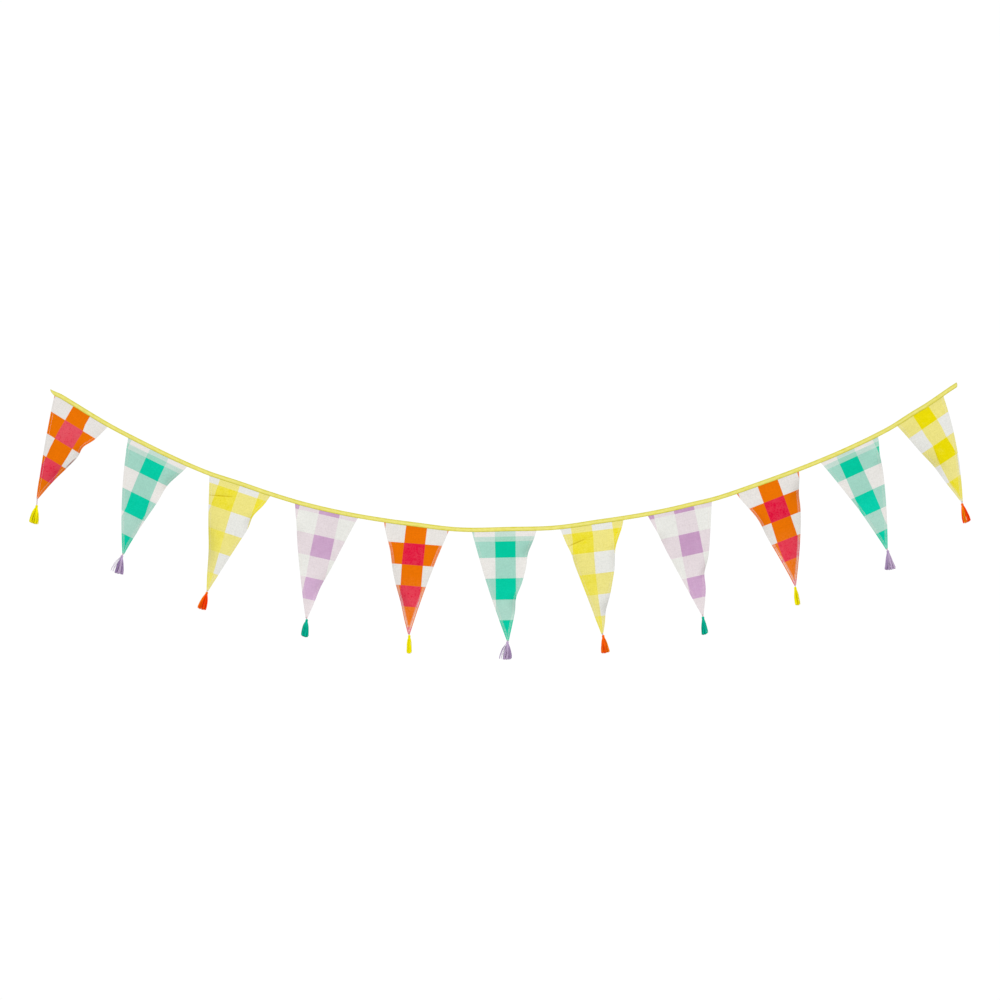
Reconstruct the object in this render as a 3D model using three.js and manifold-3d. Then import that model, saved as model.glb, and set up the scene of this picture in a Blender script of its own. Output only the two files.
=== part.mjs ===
// Fabric bunting: eleven gingham pennants held in one folded cotton tape, with a yarn tassel
// at the tip of each pennant.
// Millimetres, +Z up. The fronts of the pennants face -Y. The origin is the left end of the
// tape's upper edge, where the bunting is hung, and +X runs to its right end.

import * as THREE from 'three';
import Module from 'manifold-3d';

const wasm = await Module();
wasm.setup();

// Tape: a cotton strip folded over the tops of the pennants
const SPAN = 2822;          // from one end of the tape to the other, along X
const LOWEST_X = 1402;      // where the arc of the tape is lowest
const SAG = 431;            // how far the arc hangs below its left end
const TAPE_WIDTH = 13.4;    // from the fold at the top to the open lower edge
const LEAF = 1.0;           // each of the two leaves of the folded tape
const BARE_THICK = 2.4;     // both leaves pressed together between two pennants
const FOLD_HEIGHT = 1.0;    // height over which the fold at the top is rounded
const FOLD_SHARE = 0.45;    // thickness that is left at the very top of the fold
const LEFT_SLANT = 15;      // both ends are cut on a slant: how far the lower corner is drawn in
const RIGHT_SLANT = 8;
const RAMP = 8;            // length over which the tape closes beside a pennant
const TAPE_STEP = 40;       // longest step of the tape's sweep
const EDGE_STEPS = 3000;    // steps by which the tape's length is measured
const POCKET_DEPTH = 9;     // how far the leaves are apart above the tape's lower edge
const INSET_DEPTH = 7.8;    // how far up between the leaves a pennant reaches
const CUT_BEYOND = 1;      // a cut reaches this far past the tape's edge

// Cloth and clearances
const CLOTH = 1.0;          // thickness of a pennant
const GAP = 0.3;            // clearance between two pieces
const TIP_WIDTH = 5;        // blunt tip of a pennant, where its two hems meet
const FREE_FROM = 40;       // below the tape the cloth is flat for about this depth
const CURL_REACH = 45;      // width of the strip that turns with a curled edge
const HEM_WIDTH = 9;        // the side edges are turned to the back and stitched down
const HEM_STEP = 1.5;       // width of the step at the hem's inner edge
const HEM_EXTRA = 0.6;      // how much thicker the cloth is at the hem
const HEM_SHARE = 0.3;      // the most that one hem takes of the cloth's width, at the tip
const STEP_SHARE = 0.36;
const COLUMNS = 6;          // cells across a pennant between its hems
const ROWS = 15;            // cells down a pennant

// Tassels: a thread, a bound head that widens downwards, and locks of yarn
const THREAD_TIP = 0.25;    // radius of the thread where it leaves the pennant
const THREAD_TAPER = 1;     // length over which the thread reaches its full radius
const THREAD_RADIUS = 0.9;
const HEAD_LENGTH = 11;
const HEAD_RADIUS = 4;
const HEAD_SIDES = 8;
const LOCKS = 16;
const LOCK_SIDES = 3;
const LOCK_ROOT = 0.4;      // radius of a lock in the head
const LOCK_END = 0.9;       // radius of a lock at its lower end
const LOCK_INSET = 0.6;     // how far inside the head's surface the outer locks are rooted
const LOCK_SINK = 3;        // how far a lock's root reaches up into the head
const LOCK_STEPS = 3;
const LOCK_OPENING = 1.7;   // the larger, the closer to the head the skirt opens
const LOCK_UNEVEN = 5;      // the shortest locks end this much higher than the longest
const SKIRT_DEPTH = 0.7;    // front to back depth of the skirt as a share of its width
const SKIRT_LEAST = 6.5;    // least half depth of the skirt
const SKIRT_SPREAD = 1.18;  // evens out that no lock stands at the very edge of the skirt
const STRAY_FROM = 0.45;    // locks further to the left than this share may stray
const STRAY_LIFT = 0.3;     // a stray lock ends higher by this share of its way
const GOLDEN_ANGLE = Math.PI * (3 - Math.sqrt(5));
const FIRST_ANGLE = -Math.PI / 12;

// The cloths and the yarns take turns along the tape: orange, green, yellow and lilac cloth, with
// yellow, purple, orange and teal yarn
const TAPE_COLOUR = '#e6dd73';
const CLOTH_COLOURS = ['#ee7600', '#05cfa3', '#eee23c', '#c7a0cb'];
const YARN_COLOURS = ['#e6da00', '#9b7daa', '#f0500a', '#00a082'];
const CLOTH_ROUGHNESS = 0.9;
const YARN_ROUGHNESS = 0.8;

// Where the tape rises above or dips below its even arc: x from the left end, rise in mm
const TAPE_BENDS = [
  { x: 0, rise: 0 },
  { x: 40, rise: 5.5 },
  { x: 225, rise: -1 },
  { x: 480, rise: -5 },
  { x: 600, rise: 0 },
  { x: 785, rise: -2 },
  { x: 1120, rise: 1 },
  { x: 1270, rise: -3 },
  { x: 1440, rise: 2 },
  { x: 1560, rise: 0 },
  { x: 1720, rise: 5 },
  { x: 1980, rise: 2 },
  { x: 2075, rise: -1 },
  { x: 2205, rise: 1 },
  { x: 2600, rise: -5.5 },
  { x: 2700, rise: 2 },
  { x: SPAN, rise: 10 },
];

// One row for each pennant, in mm. at: its upper left corner, along the tape. width: along the
// tape. depth: from the tape to the tip. lean: the tip's shift along the tape. bowLeft and
// bowRight: how far each side swells. belly, turn and swing: how far the middle, the right side
// and the tip stand forwards.
const PENNANTS = [
  { at: 20, width: 192, depth: 303, lean: 21, bowLeft: -2, bowRight: 4, belly: 9, turn: -7, swing: 6 },
  { at: 285, width: 204, depth: 333, lean: 41, bowLeft: 1, bowRight: 1, belly: -8, turn: 8, swing: -10 },
  { at: 563, width: 199, depth: 342, lean: 8, bowLeft: -1, bowRight: 0, belly: 10, turn: 4, swing: 8 },
  { at: 842, width: 200, depth: 339, lean: 14, bowLeft: 1, bowRight: 0, belly: -6, turn: -6, swing: 9 },
  { at: 1124, width: 203, depth: 336, lean: 20, bowLeft: 1, bowRight: 0, belly: 8, turn: 5, swing: -7 },
  { at: 1398, width: 200, depth: 342, lean: 5, bowLeft: 4, bowRight: -2, belly: -9, turn: -5, swing: 10 },
  { at: 1672, width: 198, depth: 342, lean: -17, bowLeft: 3, bowRight: -4, belly: 9, turn: 6, swing: -8 },
  { at: 1947, width: 203, depth: 339, lean: -6, bowLeft: 2, bowRight: 2, belly: -7, turn: 7, swing: 6 },
  { at: 2230, width: 206, depth: 330, lean: -28, bowLeft: 0, bowRight: 4, belly: 9, turn: -8, swing: -9 },
  { at: 2509, width: 195, depth: 330, lean: -23, bowLeft: 0, bowRight: 3, belly: -8, turn: -6, swing: 8 },
  { at: 2771, width: 171, depth: 308, lean: -46, bowLeft: 7, bowRight: 0, belly: 8, turn: 18, swing: 10 },
];

// One row for each curled edge. side: -1 left, 1 right. at and span: its middle and half length
// down the pennant. lift: how far the edge stands forwards, or backwards below zero.
const CURLS = [
  { pennant: 1, side: 1, at: 92, span: 26, lift: 27 },
  { pennant: 1, side: 1, at: 230, span: 60, lift: -20 },
  { pennant: 2, side: 1, at: 80, span: 45, lift: -28 },
  { pennant: 3, side: 1, at: 75, span: 30, lift: 26 },
  { pennant: 3, side: -1, at: 220, span: 60, lift: -16 },
  { pennant: 4, side: -1, at: 65, span: 30, lift: 13 },
  { pennant: 4, side: 1, at: 235, span: 45, lift: -19 },
  { pennant: 5, side: -1, at: 84, span: 42, lift: 21 },
  { pennant: 5, side: -1, at: 240, span: 40, lift: -15 },
  { pennant: 6, side: 1, at: 70, span: 30, lift: -22 },
  { pennant: 6, side: 1, at: 207, span: 32, lift: 25 },
  { pennant: 7, side: -1, at: 80, span: 24, lift: 16 },
  { pennant: 7, side: 1, at: 82, span: 45, lift: 29 },
  { pennant: 7, side: 1, at: 270, span: 30, lift: -19 },
  { pennant: 8, side: -1, at: 60, span: 30, lift: 13 },
  { pennant: 8, side: 1, at: 212, span: 34, lift: -26 },
  { pennant: 9, side: -1, at: 94, span: 50, lift: 24 },
  { pennant: 9, side: 1, at: 66, span: 34, lift: -17 },
  { pennant: 10, side: 1, at: 52, span: 32, lift: 20 },
  { pennant: 10, side: -1, at: 190, span: 55, lift: -13 },
  { pennant: 11, side: -1, at: 168, span: 42, lift: -20 },
];

// One row for each tassel, in mm from the pennant's tip, sideways along the tape's direction.
// thread: the bare thread above the head. neck: the middle of the head's lower end. left and
// right: the sides of the skirt at its lower end. stray: how much further to the left its
// loosest locks reach. length: down to the lower end.
const TASSELS = [
  { thread: 18, neck: 12, left: 11, right: 46, stray: 0, length: 76 },
  { thread: 0, neck: 1, left: -4, right: 27, stray: 12, length: 68 },
  { thread: 0, neck: 3, left: -16, right: 15, stray: 0, length: 63 },
  { thread: 0, neck: 1, left: -8, right: 18, stray: 0, length: 60 },
  { thread: 0, neck: 5, left: -3, right: 17, stray: 0, length: 60 },
  { thread: 0, neck: -1, left: -12, right: 10, stray: 19, length: 62 },
  { thread: 0, neck: 3, left: -14, right: 17, stray: 0, length: 63 },
  { thread: 0, neck: 3, left: -13, right: 16, stray: 0, length: 63 },
  { thread: 0, neck: -4, left: -26, right: -4, stray: 0, length: 64 },
  { thread: 0, neck: -2, left: -17, right: 2, stray: 23, length: 68 },
  { thread: 0, neck: -7, left: -34, right: -2, stray: 0, length: 64 },
];

// The bound head from its top down. down: share of its length. radius: share of its widest
const HEAD_PROFILE = [
  { down: 0.12, radius: 0.3 },
  { down: 0.4, radius: 0.66 },
  { down: 0.75, radius: 1 },
  { down: 1, radius: 0.94 },
];

const { clamp, lerp, smoothstep } = THREE.MathUtils;

function tapeBend(x) {
  const last = TAPE_BENDS.length - 2;
  const row = clamp(TAPE_BENDS.findIndex((bend) => bend.x > x) - 1, 0, last);
  const [from, to] = [TAPE_BENDS[row], TAPE_BENDS[x >= SPAN ? last + 1 : row + 1]];
  return x >= SPAN ? to.rise : lerp(from.rise, to.rise, smoothstep(x, from.x, to.x));
}

// The tape's upper edge, end to end
class TapeEdge extends THREE.Curve {
  getPoint(t, target = new THREE.Vector3()) {
    const x = t * SPAN;
    const arc = SAG * (((x - LOWEST_X) / LOWEST_X) ** 2 - 1);
    return target.set(x, 0, arc + tapeBend(x));
  }
}

const tapeEdge = new TapeEdge();
tapeEdge.arcLengthDivisions = EDGE_STEPS;
const TAPE_LENGTH = tapeEdge.getLength();

// A direction in the plane of the tape, turned a quarter so that it points down
const downFrom = (along) => new THREE.Vector3(along.z, 0, -along.x);

// A point of the tape: along its length, down from its upper edge, and back from its middle
function tapePoint(along, down, back = 0) {
  const share = along / TAPE_LENGTH;
  const point = tapeEdge.getPointAt(share);
  point.addScaledVector(downFrom(tapeEdge.getTangentAt(share)), down);
  point.y += back;
  return point;
}

// A closed solid through rings of equally many points, closed by a flat face at each end. The
// second half of a ring is the rear of a sheet, and its cells are split along the same
// diagonals as those in front of them, so that the two never cross.
function solidFromRings(rings) {
  const size = rings[0].length;
  const points = rings.flat();
  const faces = [];
  for (let ring = 0; ring + 1 < rings.length; ring += 1) {
    for (let i = 0; i < size; i += 1) {
      const next = (i + 1) % size;
      const [a, b] = [ring * size + i, ring * size + next];
      if (i < size / 2) faces.push([a, b, b + size], [a, b + size, a + size]);
      else faces.push([a, b, a + size], [b, b + size, a + size]);
    }
  }
  const end = (rings.length - 1) * size;
  for (let low = 0, high = size - 1; high - low > 1; low += 1) {
    faces.push([low, high, low + 1], [end + low, end + low + 1, end + high]);
    if (high - low > 2) {
      faces.push([low + 1, high, high - 1], [end + low + 1, end + high - 1, end + high]);
      high -= 1;
    }
  }
  const volume = faces.reduce((sum, [a, b, c]) => (
    sum + points[a].dot(new THREE.Vector3().crossVectors(points[b], points[c]))), 0);
  const index = volume > 0 ? faces.flat() : faces.flatMap(([a, b, c]) => [a, c, b]);
  const geometry = new THREE.BufferGeometry().setFromPoints(points);
  geometry.setIndex(index);
  return geometry;
}

function toManifold(geometry) {
  return new wasm.Manifold(new wasm.Mesh({
    numProp: 3,
    vertProperties: new Float32Array(geometry.attributes.position.array),
    triVerts: new Uint32Array(geometry.index.array),
  }));
}

function fromManifold(solid) {
  const mesh = solid.getMesh();
  const geometry = new THREE.BufferGeometry();
  geometry.setAttribute('position', new THREE.BufferAttribute(mesh.vertProperties, 3));
  geometry.setIndex(new THREE.BufferAttribute(mesh.triVerts, 1));
  return geometry;
}

// Places along the tape from one end to the other, no further apart than TAPE_STEP
function evenSteps(from, to) {
  const count = Math.ceil((to - from) / TAPE_STEP);
  return Array.from({ length: count }, (_, i) => lerp(from, to, i / count));
}

const FULL_THICK = 2 * (LEAF + GAP) + CLOTH;

// The tape is thicker where a pennant is inside it
function tapeThickness(along) {
  const cover = PENNANTS.map(({ at, width }) => (
    smoothstep(along, at - RAMP, at) * (1 - smoothstep(along, at + width, at + width + RAMP))));
  return lerp(BARE_THICK, FULL_THICK, Math.max(...cover));
}

function tapeRing(along) {
  const half = tapeThickness(along) / 2;
  const outline = [
    { down: TAPE_WIDTH, back: -half },
    { down: FOLD_HEIGHT, back: -half },
    { down: 0, back: -half * FOLD_SHARE },
    { down: 0, back: half * FOLD_SHARE },
    { down: FOLD_HEIGHT, back: half },
    { down: TAPE_WIDTH, back: half },
  ];
  return outline.map(({ down, back }) => tapePoint(along, down, back));
}

// What is cut away below the upper corner of one end, so that the end is slanted
function endWedge(along, slant) {
  const tangent = tapeEdge.getTangentAt(along / TAPE_LENGTH);
  const inward = tangent.clone().multiplyScalar(along === 0 ? 1 : -1);
  const slope = slant / TAPE_WIDTH;
  const outline = [
    { down: -CUT_BEYOND, inside: -CUT_BEYOND * slope },
    { down: TAPE_WIDTH + CUT_BEYOND, inside: -CUT_BEYOND * slope },
    { down: TAPE_WIDTH + CUT_BEYOND, inside: slant + CUT_BEYOND * slope },
  ];
  return solidFromRings([-FULL_THICK, FULL_THICK].map((back) => outline.map(({ down, inside }) => (
    tapePoint(along, down, back).addScaledVector(inward, inside)))));
}

// The space between the leaves that holds the top of one pennant
function pocket({ at, width }) {
  const half = CLOTH / 2 + GAP;
  const top = TAPE_WIDTH - POCKET_DEPTH;
  const below = TAPE_WIDTH + CUT_BEYOND;
  const steps = [...evenSteps(at - GAP, at + width + GAP), at + width + GAP];
  const rings = steps.map((along) => [
    tapePoint(along, below, -half),
    tapePoint(along, top, -half),
    tapePoint(along, top, half),
    tapePoint(along, below, half),
  ]);
  return solidFromRings(rings);
}

function tape() {
  const marks = [0, ...PENNANTS.flatMap(({ at, width }) => [
    at - RAMP, at, at + width, at + width + RAMP]), TAPE_LENGTH];
  const steps = marks.slice(1).flatMap((mark, i) => evenSteps(marks[i], mark));
  const strip = toManifold(solidFromRings([...steps, TAPE_LENGTH].map(tapeRing)));
  const cuts = [endWedge(0, LEFT_SLANT), endWedge(TAPE_LENGTH, RIGHT_SLANT), ...PENNANTS.map(pocket)];
  return fromManifold(cuts.reduce((solid, cut) => solid.subtract(toManifold(cut)), strip));
}

// The frame of a pennant: its upper corners, the direction across and the direction down
function pennantFrame({ at, width }) {
  const left = tapePoint(at, TAPE_WIDTH);
  const right = tapePoint(at + width, TAPE_WIDTH);
  const across = right.clone().sub(left).normalize();
  return { left, right, across, down: downFrom(across) };
}

const curlsOf = (number) => CURLS.filter((curl) => curl.pennant === number);

// A point of the middle of a pennant's cloth. share: 0 at its left edge, 1 at its right one.
// depth: down from the tape's lower edge, and below zero inside the tape.
function clothPoint(number, share, depth) {
  const row = PENNANTS[number - 1];
  const top = tapePoint(row.at + share * row.width, TAPE_WIDTH + Math.min(depth, 0));
  if (depth <= 0) return top;
  const { left, right, across, down } = pennantFrame(row);
  const t = depth / row.depth;
  const swell = Math.sin(Math.PI * t);
  const half = lerp(row.width, TIP_WIDTH, t) / 2;
  const leftEdge = -half - row.bowLeft * swell;
  const rightEdge = half + row.bowRight * swell;
  const free = smoothstep(depth, 0, FREE_FROM);
  const side = 2 * share - 1;
  let shift = row.lean * t ** 2;
  let forward = row.belly * swell * (1 - side ** 2) + row.turn * side * swell + row.swing * t ** 2;
  for (const curl of curlsOf(number)) {
    const fromEdge = (rightEdge - leftEdge) * (curl.side > 0 ? 1 - share : share);
    const hold = clamp(1 - fromEdge / CURL_REACH, 0, 1);
    const fade = Math.exp(-(((depth - curl.at) / curl.span) ** 2));
    const draw = CURL_REACH - Math.sqrt(CURL_REACH ** 2 - curl.lift ** 2);
    shift -= curl.side * draw * fade * hold * free;
    forward += curl.lift * fade * hold ** 2;
  }
  const point = left.clone().lerp(right, 0.5);
  point.addScaledVector(across, lerp(leftEdge, rightEdge, share) + shift);
  point.addScaledVector(down, depth);
  point.addScaledVector(top.sub(left.clone().lerp(right, share)), 1 - t);
  point.y -= forward * free;
  return point;
}

// The direction out of the front of the cloth, from points a little to each side
function clothNormal(number, share, depth) {
  if (depth <= 0) return new THREE.Vector3(0, -1, 0);
  const nearShare = 0.02;
  const nearDepth = 2;
  const across = clothPoint(number, Math.min(share + nearShare, 1), depth)
    .sub(clothPoint(number, Math.max(share - nearShare, 0), depth));
  const down = clothPoint(number, share, depth + nearDepth)
    .sub(clothPoint(number, share, Math.max(depth - nearDepth, 0)));
  return down.cross(across).normalize();
}

// One ring around the cloth at one depth. The hems are thicker to the back, but are pressed flat
// inside the tape.
function clothRing(number, depth) {
  const row = PENNANTS[number - 1];
  const width = lerp(row.width, TIP_WIDTH, clamp(depth / row.depth, 0, 1));
  const outer = Math.min(HEM_WIDTH / width, HEM_SHARE);
  const inner = Math.min((HEM_WIDTH + HEM_STEP) / width, STEP_SHARE);
  const between = Array.from({ length: COLUMNS + 1 }, (_, i) => (
    lerp(inner, 1 - inner, i / COLUMNS)));
  const hem = depth > 0 ? HEM_EXTRA : 0;
  const columns = [
    { share: 0, back: hem },
    { share: outer, back: hem },
    ...between.map((share) => ({ share, back: 0 })),
    { share: 1 - outer, back: hem },
    { share: 1, back: hem },
  ];
  const front = columns.map(({ share }) => clothPoint(number, share, depth)
    .addScaledVector(clothNormal(number, share, depth), CLOTH / 2));
  const rear = columns.map(({ share, back }) => clothPoint(number, share, depth)
    .addScaledVector(clothNormal(number, share, depth), -CLOTH / 2 - back));
  return [...front, ...rear.reverse()];
}

function pennant(number) {
  const { depth } = PENNANTS[number - 1];
  const depths = Array.from({ length: ROWS + 1 }, (_, i) => (depth * i) / ROWS);
  return solidFromRings([-INSET_DEPTH, ...depths].map((down) => clothRing(number, down)));
}

// A ring of points around a centre, square to the tassel's axis
function ringAround(centre, axis, radius, sides) {
  const back = new THREE.Vector3(0, 1, 0).addScaledVector(axis, -axis.y).normalize();
  const across = new THREE.Vector3().crossVectors(axis, back);
  return Array.from({ length: sides }, (_, i) => {
    const angle = (2 * Math.PI * i) / sides;
    return centre.clone()
      .addScaledVector(across, radius * Math.cos(angle))
      .addScaledVector(back, radius * Math.sin(angle));
  });
}

function tasselHead(root, axis, thread) {
  const profile = [
    { down: 0, radius: THREAD_TIP },
    { down: THREAD_TAPER, radius: THREAD_RADIUS },
    ...HEAD_PROFILE.map(({ down, radius }) => (
      { down: thread + down * HEAD_LENGTH, radius: radius * HEAD_RADIUS })),
  ];
  return solidFromRings(profile.map(({ down, radius }) => (
    ringAround(root.clone().addScaledVector(axis, down), axis, radius, HEAD_SIDES))));
}

// A lock of yarn from the head down into the skirt. The locks stand like the seeds of a
// sunflower, so that all of them are apart.
function tasselLock(row, root, axis, { across, down }, i) {
  const radius = Math.sqrt((i + 0.5) / LOCKS);
  const angle = FIRST_ANGLE + i * GOLDEN_ANGLE;
  const sideways = radius * Math.cos(angle);
  const forward = radius * Math.sin(angle);
  const stray = (row.stray * Math.max(0, -sideways - STRAY_FROM)) / (1 - STRAY_FROM);
  const halfWidth = ((row.right - row.left) / 2 - LOCK_END) * SKIRT_SPREAD;
  const halfDepth = Math.max(SKIRT_DEPTH * halfWidth, SKIRT_LEAST - LOCK_END);
  const packed = HEAD_RADIUS - LOCK_INSET;
  const shorter = (LOCK_UNEVEN * (1 + Math.sin(GOLDEN_ANGLE * i))) / 2 + STRAY_LIFT * stray;
  const start = root.clone().addScaledVector(axis, row.thread + HEAD_LENGTH - LOCK_SINK);
  const end = root.clone().addScaledVector(down, row.length - shorter)
    .addScaledVector(across, (row.left + row.right) / 2);
  const along = end.clone().sub(start).normalize();
  const rings = [];
  for (let step = 0; step <= LOCK_STEPS; step += 1) {
    const t = step / LOCK_STEPS;
    const open = 1 - (1 - t) ** LOCK_OPENING;
    const middle = start.clone().lerp(end, t);
    middle.addScaledVector(across, lerp(packed * sideways, halfWidth * sideways - stray, open));
    middle.y -= lerp(packed, halfDepth, open) * forward;
    rings.push(ringAround(middle, along, lerp(LOCK_ROOT, LOCK_END, open), LOCK_SIDES));
  }
  return solidFromRings(rings);
}

function tassel(number) {
  const { depth } = PENNANTS[number - 1];
  const row = TASSELS[number - 1];
  const frame = pennantFrame(PENNANTS[number - 1]);
  const tip = clothPoint(number, 0.5, depth);
  const lowest = Math.max(...clothRing(number, depth).map((point) => point.sub(tip).dot(frame.down)));
  const root = tip.addScaledVector(frame.down, lowest + GAP);
  const axis = frame.down.clone().multiplyScalar(row.thread + HEAD_LENGTH)
    .addScaledVector(frame.across, row.neck).normalize();
  const head = toManifold(tasselHead(root, axis, row.thread));
  const locks = Array.from({ length: LOCKS }, (_, i) => (
    toManifold(tasselLock(row, root, axis, frame, i))));
  return fromManifold(locks.reduce((solid, lock) => solid.add(lock), head));
}

function piece(name, geometry, colour, roughness) {
  const material = new THREE.MeshStandardMaterial({ color: colour, roughness, metalness: 0 });
  const mesh = new THREE.Mesh(geometry, material);
  mesh.name = name;
  return mesh;
}

const bunting = new THREE.Group();
bunting.name = 'bunting';
bunting.add(piece('tape', tape(), TAPE_COLOUR, CLOTH_ROUGHNESS));
PENNANTS.forEach((row, i) => {
  const label = String(i + 1).padStart(2, '0');
  const cloth = CLOTH_COLOURS[i % CLOTH_COLOURS.length];
  const yarn = YARN_COLOURS[i % YARN_COLOURS.length];
  bunting.add(piece(`pennant_${label}`, pennant(i + 1), cloth, CLOTH_ROUGHNESS));
  bunting.add(piece(`tassel_${label}`, tassel(i + 1), yarn, YARN_ROUGHNESS));
});

export default bunting;
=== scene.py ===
"""Fabric bunting: gingham pennants in a folded cotton tape, with a yarn tassel at each tip.

The tables are in millimetres, and meshes are turned into metres as they are made. The fronts of
the pennants face -Y, +Z is up, and the origin is the left end of the tape's upper edge.
"""

import math

import bpy
import numpy as np
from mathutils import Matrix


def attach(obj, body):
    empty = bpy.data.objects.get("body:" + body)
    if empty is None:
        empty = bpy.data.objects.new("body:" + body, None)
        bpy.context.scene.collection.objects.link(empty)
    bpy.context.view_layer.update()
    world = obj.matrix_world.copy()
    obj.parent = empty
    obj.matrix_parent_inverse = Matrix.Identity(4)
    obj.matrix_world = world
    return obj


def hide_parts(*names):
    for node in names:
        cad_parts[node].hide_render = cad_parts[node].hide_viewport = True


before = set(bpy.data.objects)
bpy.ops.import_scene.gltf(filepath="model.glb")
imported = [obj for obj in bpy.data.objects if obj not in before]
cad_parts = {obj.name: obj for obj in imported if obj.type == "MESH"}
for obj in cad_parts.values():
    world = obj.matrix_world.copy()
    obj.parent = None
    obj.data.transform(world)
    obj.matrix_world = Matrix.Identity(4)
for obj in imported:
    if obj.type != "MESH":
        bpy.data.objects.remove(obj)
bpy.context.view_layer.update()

MM = 0.001


def table(columns, *rows):
    """The rows of a table, each with the names of the columns."""
    return [dict(zip(columns.split(), row)) for row in rows]


# Tape
SPAN = 2822  # along X
LOWEST_X = 1402
SAG = 431  # below the left end
TAPE_WIDTH = 13.4  # folded
LEFT_SLANT = 20  # how far the lower corner of the left end is drawn in
LEFT_ROUNDED = 1.8  # 1 is a straight cut, and more is rounder
RIGHT_SLANT = 7
RIGHT_ROUNDED = 3
SLANT_REACH = 70  # length over which a slant fades
TAPE_STEP = 4
SLOPE_STEP = 0.3
TURNED_IN = 10.5  # how far the raw edges reach up inside
TAPE_CLOTH = 0.36  # thickness of a layer
HALF_GAP = 0.2  # from the middle to the inner layers
HELD_OPEN = 0.18  # more where a pennant lies between
LAYER_SLACK = 0.03
RAMP = 8  # length over which the tape closes beside a pennant

# Pennants
CLOTH = 0.34  # thickness of the cloth
TIP_WIDTH = 5
INSET_DEPTH = 7.8  # how far up into the tape a pennant reaches
FREE_FROM = 40  # above this depth the tape still holds the cloth flat
CURL_REACH = 45  # width of the strip that turns with a curled edge
HEM_WIDTH = 9
HEM_SHARE = 0.42  # the most that a hem takes of the width, at the tip
HEM_FOLD = 0.22  # half the distance between the two layers of a hem
HEM_INSETS = (HEM_WIDTH, 7, 5, 3, 1.2, HEM_FOLD)  # columns of the mesh
CENTRE_COLUMNS = 44
CLOTH_ROWS = 110
CREASE_PAST = 6  # a pressed crease is still measured this far past its ends
FAR = 1000.0  # further than any crease is

# Gingham
CHECK = 64
THREAD_PITCH = 0.55
CHECKS_PAST = 400  # how far the checks run on past their outer lines
STRAY = 0.8  # width over which the edges of the checks wander
CREASE_SHADE_LINE = 2.7  # half width of the painted shade along a pressed crease
PALES_FROM = 0.45  # share of the depth where paling towards the tip starts
PALES_OVER = 0.25
BORDER_PALE = 0.42
STREAKS_ACROSS = 900  # noise scales of the thread streaks
STREAKS_ALONG = 12

# Finishes
SHEEN_SPREAD = 0.5
GLOSS = 0.04

# Stitches
STITCH_PITCH = 3.4
STITCH_LENGTH = 2.5
STITCH_THREAD = 0.75
SEAM_INSET = 7.6  # from the side edge of a pennant
SEAM_START = 0.5
SEAM_SHORT = 4  # how far a seam stops before the tip
SEAM_STEPS = 150
TAPE_SEAM_DOWN = 11.2  # from the top of the tape
TAPE_SEAM_IN = 3  # from the corners of its ends
TAPE_SEAM_STEPS = 1500
PUCKER = 0.07  # half width of the puckered band, as a share of the tape's

# Tassels
HEAD_LENGTH = 9
HEAD_RADIUS = 4.3
NECK_SHARE = 0.8  # of the head's radius
STRANDS = 190
STRAND_STEPS = 12
STRAND_RADIUS = 0.5
PLY_PITCH = 1.6
HEAD_STRANDS = 28
HEAD_STEPS = 9
BINDING_TURNS = 5
BINDING_STEPS = 14
BINDING_RADIUS = 0.42
BINDING_FROM = 0.76  # share of the head's length
BINDING_SHARE = 0.2
ROOT_SINK = 2.5  # how far strands reach up into the head
UNEVEN = 4.5  # how much shorter the shortest strands are
ROUNDED = 3.5  # how much lower the skirt is at its middle
SKIRT_DEPTH = 0.75  # share of the width
SKIRT_LEAST = 6
SKIRT_SPREAD = 1.16  # few strands stand at the very edge
CLUMPS = 16
CLUMP_PULL = 0.52  # share of the way to the middle of its clump
CLUMP_SWAY = 1.7
CLUMP_BEND = 0.5
STRAND_SWAY = 0.5
TONE_SPREAD = 0.15
LOOSE_FROM = -0.25  # clumps further left hang apart
LOOSE_PULL = 0.85
LOOSE_SPREAD = 1.3
LOOSE_MISSING = 0.6
TIE_PLIES = 3
TIE_RADIUS = 0.85
TIE_STEPS = 16
TIE_TWIST = 6
TIE_IN_CLOTH = 3  # how far the tie reaches up behind the tip
TIE_IN_HEAD = 2
GOLDEN_ANGLE = math.pi * (3 - math.sqrt(5))

# Camera and studio, in metres and watts
CAMERA_AWAY = 16.0
VIEW_WIDTH = 3.115
VIEW_MIDDLE = (1.4002, -0.3451)
SENSOR = 36.0
SURROUND = 0.61  # light of the white surround on the bunting
SURROUND_SEEN = 0.41  # added where the camera sees it, so that it looks white
LIT_PLACE = (1.4, 0, -0.35)
LAMPS = table(
    "name place size power",
    ("left lamp", (0.9, -3.3, 2.4), (1.8, 1.8), 56),
    ("right lamp", (1.9, -3.8, 1.2), (2.2, 2.2), 36),
    ("rear lamp", (1.4, 5.0, 2.2), (4.0, 2.5), 110),
)
FLOOR_X = (-6, 9)
FLOOR_Y = (-9, 3.9)
FLOOR_Z = -2.3

# Where the tape rises above or dips below its even arc: x and the rise there
TAPE_BENDS = [
    (0, 0), (40, 5.5), (225, -1), (480, -5), (600, 0), (785, -2), (1120, 1), (1270, -3), (1440, 2),
    (1560, 0), (1720, 5), (1980, 2), (2075, -1), (2205, 1), (2600, -5.5), (2700, 2), (SPAN, 10),
]

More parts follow.
